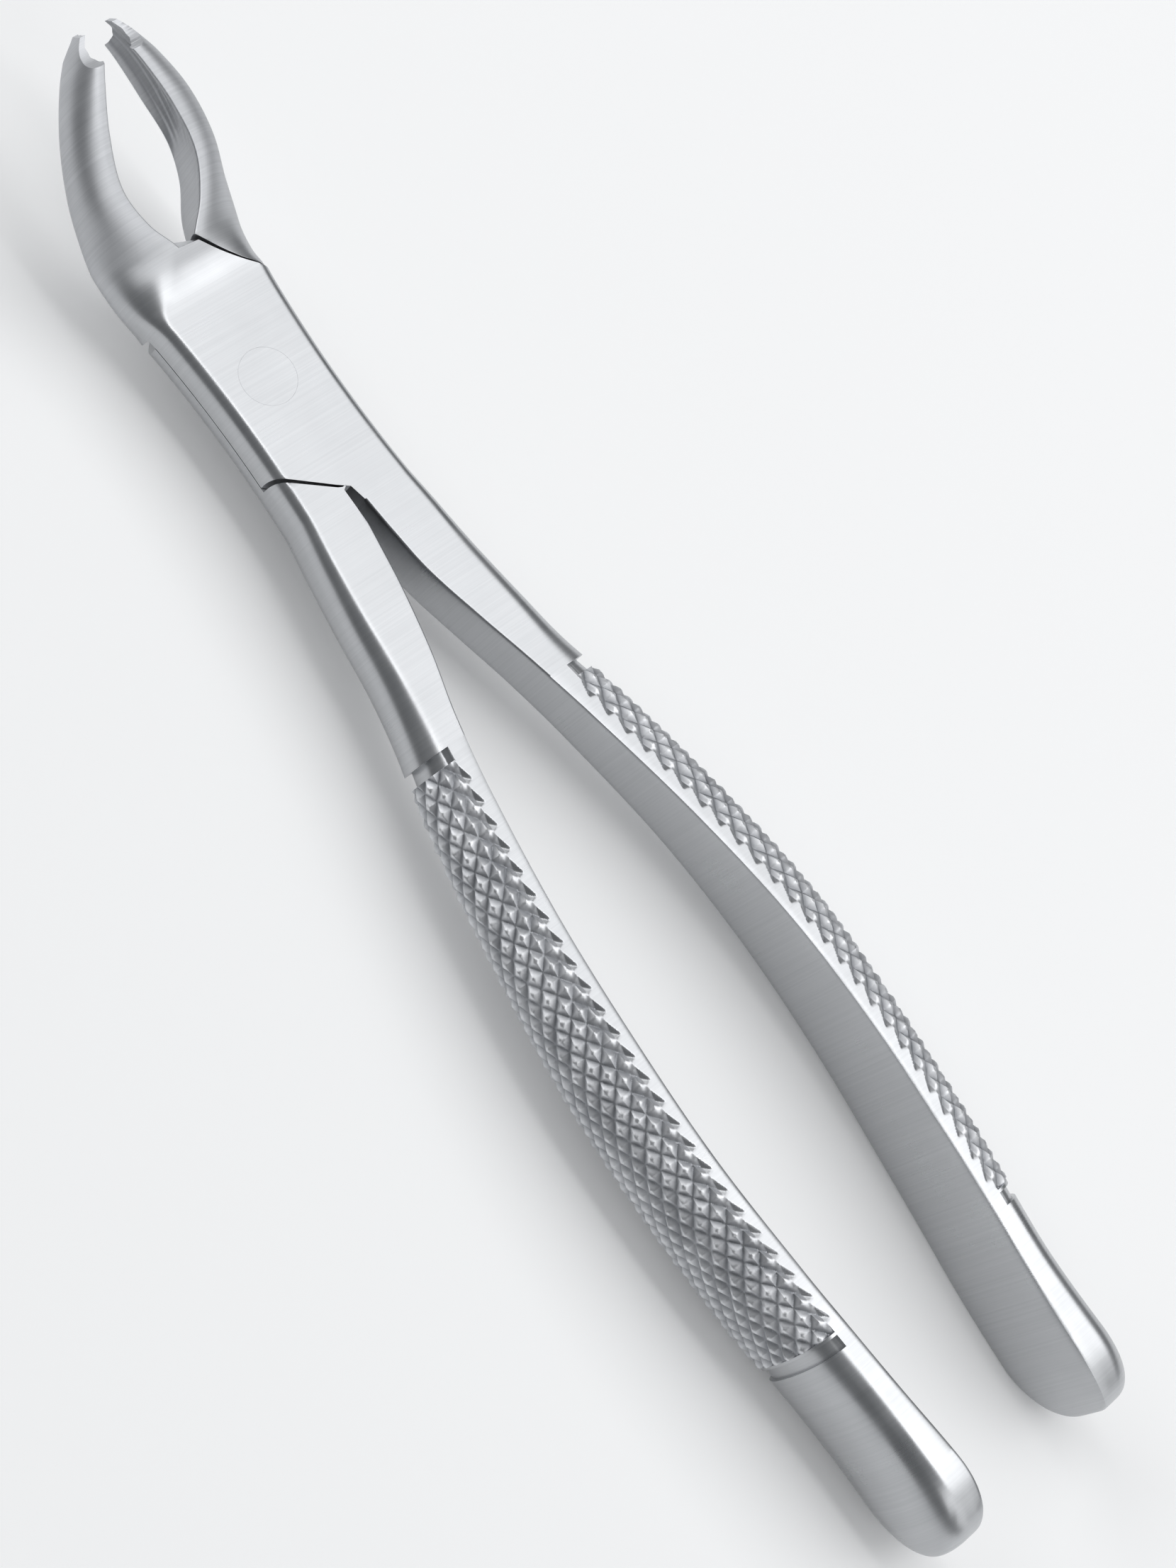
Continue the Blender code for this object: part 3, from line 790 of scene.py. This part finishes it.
def build_half(name, side, shared_cutters):
    """One forging: a beak on one side, its lap plate, and the handle on the other side."""
    shank = spread(NECK_START, HANDLE[0][0], BODY_STEP)
    rings = [shank_ring(x, -side) for x in shank]
    rings += [block_ring(x) for x in spread(BLOCK_START, BLOCK_TOP, BLOCK_STEP)]
    root_end = ROOT_END_FRONT if side > 0 else ROOT_END_REAR
    rings += [beak_ring(x, side, rooted=True) for x in spread(ROOT_START, root_end, BODY_STEP)]
    free_start = root_end + BEAK_FREE_STEP
    rings += [beak_ring(x, side) for x in spread(free_start, BEAK[-1][0], BEAK_STEP)]
    body = loft(name + "_body", rings)
    if side > 0:
        edges = beyond_edges(UPPER_PLATE_EDGE, LOWER_PLATE_EDGE, FORK_FRONT)
        layer = mirrored(between_shoulders(REAR_SHOULDER, LOWER_SHOULDER, PAST_REAR))
        low, high = -WIDE, PARTING_Z + LAP_GAP / 2
    else:
        edges = beyond_edges(REAR_PLATE_EDGE, LOWER_PLATE_EDGE, FORK_REAR)
        edges = [mirrored(outline) for outline in edges]
        layer = between_shoulders(UPPER_SHOULDER, LOWER_SHOULDER, PAST_FRONT)
        low, high = PARTING_Z - LAP_GAP / 2, WIDE
    own = [
        prism("above", edges[0], -WIDE, 2 * WIDE),
        prism("below", edges[1], -WIDE, 2 * WIDE),
        prism("layer", layer, low, high),
    ]
    subtract(body, own + shared_cutters)
    for cutter in own:
        bpy.data.objects.remove(cutter)
    break_edges(body)
    no_index = np.zeros(len(body.data.polygons), np.int32)
    body.data.polygons.foreach_set("material_index", no_index)
    height = body.data.attributes.new("height", "FLOAT", "POINT")
    height.data.foreach_set("value", np.ones(len(body.data.vertices)))
    piece = joined(name + "_steel", [body, grip(name + "_grip", -side)])
    smooth_shade(piece.data)
    flatten = piece.modifiers.new("even_flats", "WEIGHTED_NORMAL")
    flatten.keep_sharp = True
    return piece


def build_pin():
    """The flush riveted head, front and back, on its shank."""
    eased_radius = PIN_RADIUS - PIN_DISH_EASE
    eased_dish = PIN_DISH * PIN_DISH_EASE_SHARE
    profile = [
        (PIN_DISH_RADIUS, PIN_DISH),
        (eased_radius, eased_dish),
        (PIN_RADIUS - PIN_RIM, 0.0),
        (PIN_RADIUS, PIN_RIM),
        (PIN_RADIUS, JOINT_DEPTH - PIN_RIM),
        (PIN_RADIUS - PIN_RIM, JOINT_DEPTH),
        (eased_radius, JOINT_DEPTH - eased_dish),
        (PIN_DISH_RADIUS, JOINT_DEPTH - PIN_DISH),
    ]
    pin = turned("pivot_pin_steel", profile)
    smooth_shade(pin.data)
    return pin


class Nodes:
    """Short calls for building a material's node tree."""

    def __init__(self, name):
        self.material = bpy.data.materials.new(name)
        self.material.use_nodes = True
        self.tree = self.material.node_tree
        self.shader = self.tree.nodes["Principled BSDF"]
        coordinates = self.tree.nodes.new("ShaderNodeTexCoord")
        self.place = coordinates.outputs["Object"]
        self.normal = coordinates.outputs["Normal"]

    def link(self, output, target):
        self.tree.links.new(output, target)

    def part(self, vector, axis):
        node = self.tree.nodes.new("ShaderNodeSeparateXYZ")
        self.link(vector, node.inputs["Vector"])
        return node.outputs[axis]

    def stretched(self, scale):
        mapping = self.tree.nodes.new("ShaderNodeMapping")
        mapping.inputs["Scale"].default_value = scale
        self.link(self.place, mapping.inputs["Vector"])
        return mapping.outputs["Vector"]

    def noise(self, scale, detail=2.0, roughness=0.5):
        texture = self.tree.nodes.new("ShaderNodeTexNoise")
        texture.inputs["Scale"].default_value = 1.0
        texture.inputs["Detail"].default_value = detail
        texture.inputs["Roughness"].default_value = roughness
        self.link(self.stretched(scale), texture.inputs["Vector"])
        return texture.outputs["Fac"]

    def ranged(self, value, low, high, to_low, to_high):
        node = self.tree.nodes.new("ShaderNodeMapRange")
        node.inputs["From Min"].default_value = low
        node.inputs["From Max"].default_value = high
        node.inputs["To Min"].default_value = to_low
        node.inputs["To Max"].default_value = to_high
        self.link(value, node.inputs["Value"])
        return node.outputs["Result"]

    def math(self, operation, first, second):
        node = self.tree.nodes.new("ShaderNodeMath")
        node.operation = operation
        for socket, value in zip(node.inputs, (first, second)):
            if isinstance(value, (int, float)):
                socket.default_value = value
            else:
                self.link(value, socket)
        return node.outputs["Value"]

    def mix(self, factor, first, second):
        node = self.tree.nodes.new("ShaderNodeMix")
        node.data_type = "RGBA"
        self.link(factor, node.inputs[MIX_FACTOR])
        for socket, value in ((MIX_FIRST, first), (MIX_SECOND, second)):
            if isinstance(value, tuple):
                node.inputs[socket].default_value = value
            else:
                self.link(value, node.inputs[socket])
        return node.outputs[MIX_RESULT]

    def darkened(self, colour, share):
        node = self.tree.nodes.new("ShaderNodeMix")
        node.data_type = "RGBA"
        node.blend_type = "MULTIPLY"
        node.inputs[MIX_FACTOR].default_value = 1.0
        self.link(colour, node.inputs[MIX_FIRST])
        self.link(share, node.inputs[MIX_SECOND])
        return node.outputs[MIX_RESULT]

    def bump(self, height, distance, strength=1.0, normal=None):
        node = self.tree.nodes.new("ShaderNodeBump")
        node.inputs["Strength"].default_value = strength
        node.inputs["Distance"].default_value = distance
        self.link(height, node.inputs["Height"])
        if normal is not None:
            self.link(normal, node.inputs["Normal"])
        return node.outputs["Normal"]


def brushed_steel(name, light, dark, roughness):
    """Satin steel, ground across the instrument, with faint smudges, longer scratches and painted
    side shade.
    """
    n = Nodes(name)
    fine = n.noise(BRUSHED_FINE, detail=3.0, roughness=0.6)
    long = n.noise(BRUSHED_LONG, detail=2.0)
    cloud = n.noise(BRUSHED_CLOUD, detail=3.0)
    fine_part = n.math("MULTIPLY", fine, FINE_SHARE)
    streaks = n.math("ADD", fine_part, n.math("MULTIPLY", long, 1 - FINE_SHARE))
    ground = n.mix(n.ranged(streaks, *GROUND_STREAKS), dark, light)
    satin = n.ranged(n.part(n.place, "X"), SATIN_FROM * MM, SATIN_TO * MM, 0.0, 1.0)
    dull = n.mix(n.ranged(streaks, *SATIN_STREAKS), SATIN_DARK, SATIN_LIGHT)
    # Painted shade: faces whose normal turns sideways have their colour darkened
    sideways = n.math("ABSOLUTE", n.part(n.normal, "Y"), 0.0)
    share = n.ranged(sideways, SIDE_FROM, SIDE_TO, 1.0, SIDE_PAINTED_SHADE_SHARE)
    n.link(n.darkened(n.mix(satin, ground, dull), share), n.shader.inputs["Base Color"])
    cloudy = n.ranged(cloud, *BRUSHED_CLOUD_ROUGH)
    rough = n.math("ADD", cloudy, n.ranged(fine, *BRUSHED_FINE_ROUGH))
    rough = n.math("ADD", rough, n.math("MULTIPLY", satin, SATIN_ROUGHER))
    n.link(n.math("ADD", rough, roughness), n.shader.inputs["Roughness"])
    normal = n.bump(fine, BRUSHED_FINE_BUMP)
    normal = n.bump(long, BRUSHED_LONG_BUMP, normal=normal)
    n.link(normal, n.shader.inputs["Normal"])
    n.shader.inputs["Metallic"].default_value = 1.0
    return n.material


def knurled_steel(name, light, dark, roughness):
    """The lower handle: bright on the flats of the diamonds, with painted shade in the cut
    grooves, which are also rougher.
    """
    n = Nodes(name)
    attribute = n.tree.nodes.new("ShaderNodeAttribute")
    attribute.attribute_name = "height"
    height = attribute.outputs["Fac"]
    fine = n.noise(KNURLED_FINE, detail=3.0, roughness=0.6)
    grit = n.noise(KNURLED_GRIT, detail=4.0, roughness=0.65)
    cloud = n.noise(KNURLED_CLOUD, detail=3.0)
    cloudy = n.ranged(cloud, *KNURLED_CLOUD_SHADE)
    # Painted shade: the grooves are darkened by their depth, with random clouds of tone on top
    painted_groove_shade_and_cloud = n.math("ADD", n.ranged(height, *KNURLED_GROOVE_PAINTED_SHADE), cloudy)
    n.link(n.mix(painted_groove_shade_and_cloud, dark, light), n.shader.inputs["Base Color"])
    gritty = n.ranged(grit, *KNURLED_GRIT_ROUGH)
    rough = n.math("ADD", n.ranged(height, *KNURLED_HEIGHT_ROUGH), gritty)
    n.link(n.math("ADD", rough, roughness), n.shader.inputs["Roughness"])
    normal = n.bump(fine, KNURLED_FINE_BUMP)
    normal = n.bump(grit, KNURLED_GRIT_BUMP, strength=KNURLED_GRIT_STRENGTH, normal=normal)
    n.link(normal, n.shader.inputs["Normal"])
    n.shader.inputs["Metallic"].default_value = 1.0
    return n.material


def area_light(name, alpha, distance, length, width, radiance, pitch):
    """A softbox at an angle alpha from +Z towards +Y and a pitch towards +X, facing the object."""
    data = bpy.data.lights.new(name, "AREA")
    data.shape = "RECTANGLE"
    data.size = length
    data.size_y = width
    data.energy = radiance * math.pi * length * width
    obj = bpy.data.objects.new(name, data)
    bpy.context.scene.collection.objects.link(obj)
    flat = math.cos(pitch)
    z_axis = Vector((math.sin(pitch), math.sin(alpha) * flat, math.cos(alpha) * flat))
    x_axis = (Vector((1.0, 0.0, 0.0)) - z_axis * z_axis.x).normalized()
    y_axis = z_axis.cross(x_axis)
    turn = Matrix((x_axis, y_axis, z_axis)).transposed()
    obj.matrix_world = Matrix.Translation(AIM + z_axis * distance) @ turn.to_4x4()


def build_floor():
    mesh = bpy.data.meshes.new("floor")
    half = FLOOR_HALF
    z = CAD_BOX[0][2] - FLOOR_DROP
    corners = [(-half, -half, z), (half, -half, z), (half, half, z), (-half, half, z)]
    mesh.from_pydata(corners, [], [(0, 1, 2, 3)])
    obj = bpy.data.objects.new("floor", mesh)
    bpy.context.scene.collection.objects.link(obj)
    material = bpy.data.materials.new("floor_paper")
    material.use_nodes = True
    shader = material.node_tree.nodes["Principled BSDF"]
    shader.inputs["Base Color"].default_value = FLOOR_COLOUR
    shader.inputs["Roughness"].default_value = FLOOR_ROUGHNESS
    shader.inputs["Specular IOR Level"].default_value = FLOOR_SPECULAR
    shader.inputs["Emission Color"].default_value = FLOOR_GLOW_COLOUR
    shader.inputs["Emission Strength"].default_value = FLOOR_GLOW
    mesh.materials.append(material)


def build_camera():
    data = bpy.data.cameras.new("camera")
    data.lens = CAMERA_LENS
    data.clip_start = CLIP_START
    camera = bpy.data.objects.new("camera", data)
    bpy.context.scene.collection.objects.link(camera)
    towards = Vector((0.0, math.sin(VIEW_LEAN), math.cos(VIEW_LEAN)))
    right = Vector((0.0, -math.cos(VIEW_LEAN), math.sin(VIEW_LEAN)))
    along = Vector((1.0, 0.0, 0.0))
    x_axis = math.cos(ROLL) * right - math.sin(ROLL) * along
    y_axis = math.sin(ROLL) * right + math.cos(ROLL) * along
    turn = Matrix((x_axis, y_axis, towards)).transposed()
    camera.matrix_world = Matrix.Translation(AIM + towards * CAMERA_DISTANCE) @ turn.to_4x4()
    bpy.context.scene.camera = camera


def build_light():
    world = bpy.data.worlds.new("studio")
    world.use_nodes = True
    background = world.node_tree.nodes["Background"]
    background.inputs["Color"].default_value = STUDIO_COLOUR
    background.inputs["Strength"].default_value = STUDIO_STRENGTH
    bpy.context.scene.world = world
    for name, alpha, distance, length, width, radiance, pitch in SOFTBOXES:
        alpha, pitch = math.radians(alpha), math.radians(pitch)
        area_light(name, alpha, distance, length, width, radiance, pitch)
    bpy.context.scene.view_settings.view_transform = "Standard"


build_camera()
build_light()
build_floor()
bore = turned("bore", bore_profile())
shared = [bore] + tip_cutters()
brushed = brushed_steel("brushed_steel", LIGHT, DARK, BRUSHED_ROUGHNESS)
knurled = knurled_steel("knurled_steel", KNURL_LIGHT, KNURL_GROOVE_PAINTED_SHADE, KNURLED_ROUGHNESS)
for node_name, side, body_name in (("front_half", 1, "front"), ("rear_half", -1, "rear")):
    half = build_half(node_name, side, shared)
    half.data.materials.append(brushed)
    half.data.materials.append(knurled)
    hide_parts(node_name)
    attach(half, body_name)
pin = build_pin()
pin.data.materials.append(brushed_steel("pin_steel", LIGHT, DARK, BRUSHED_ROUGHNESS))
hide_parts("pivot_pin")
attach(pin, "front")
for cutter in shared:
    bpy.data.objects.remove(cutter)
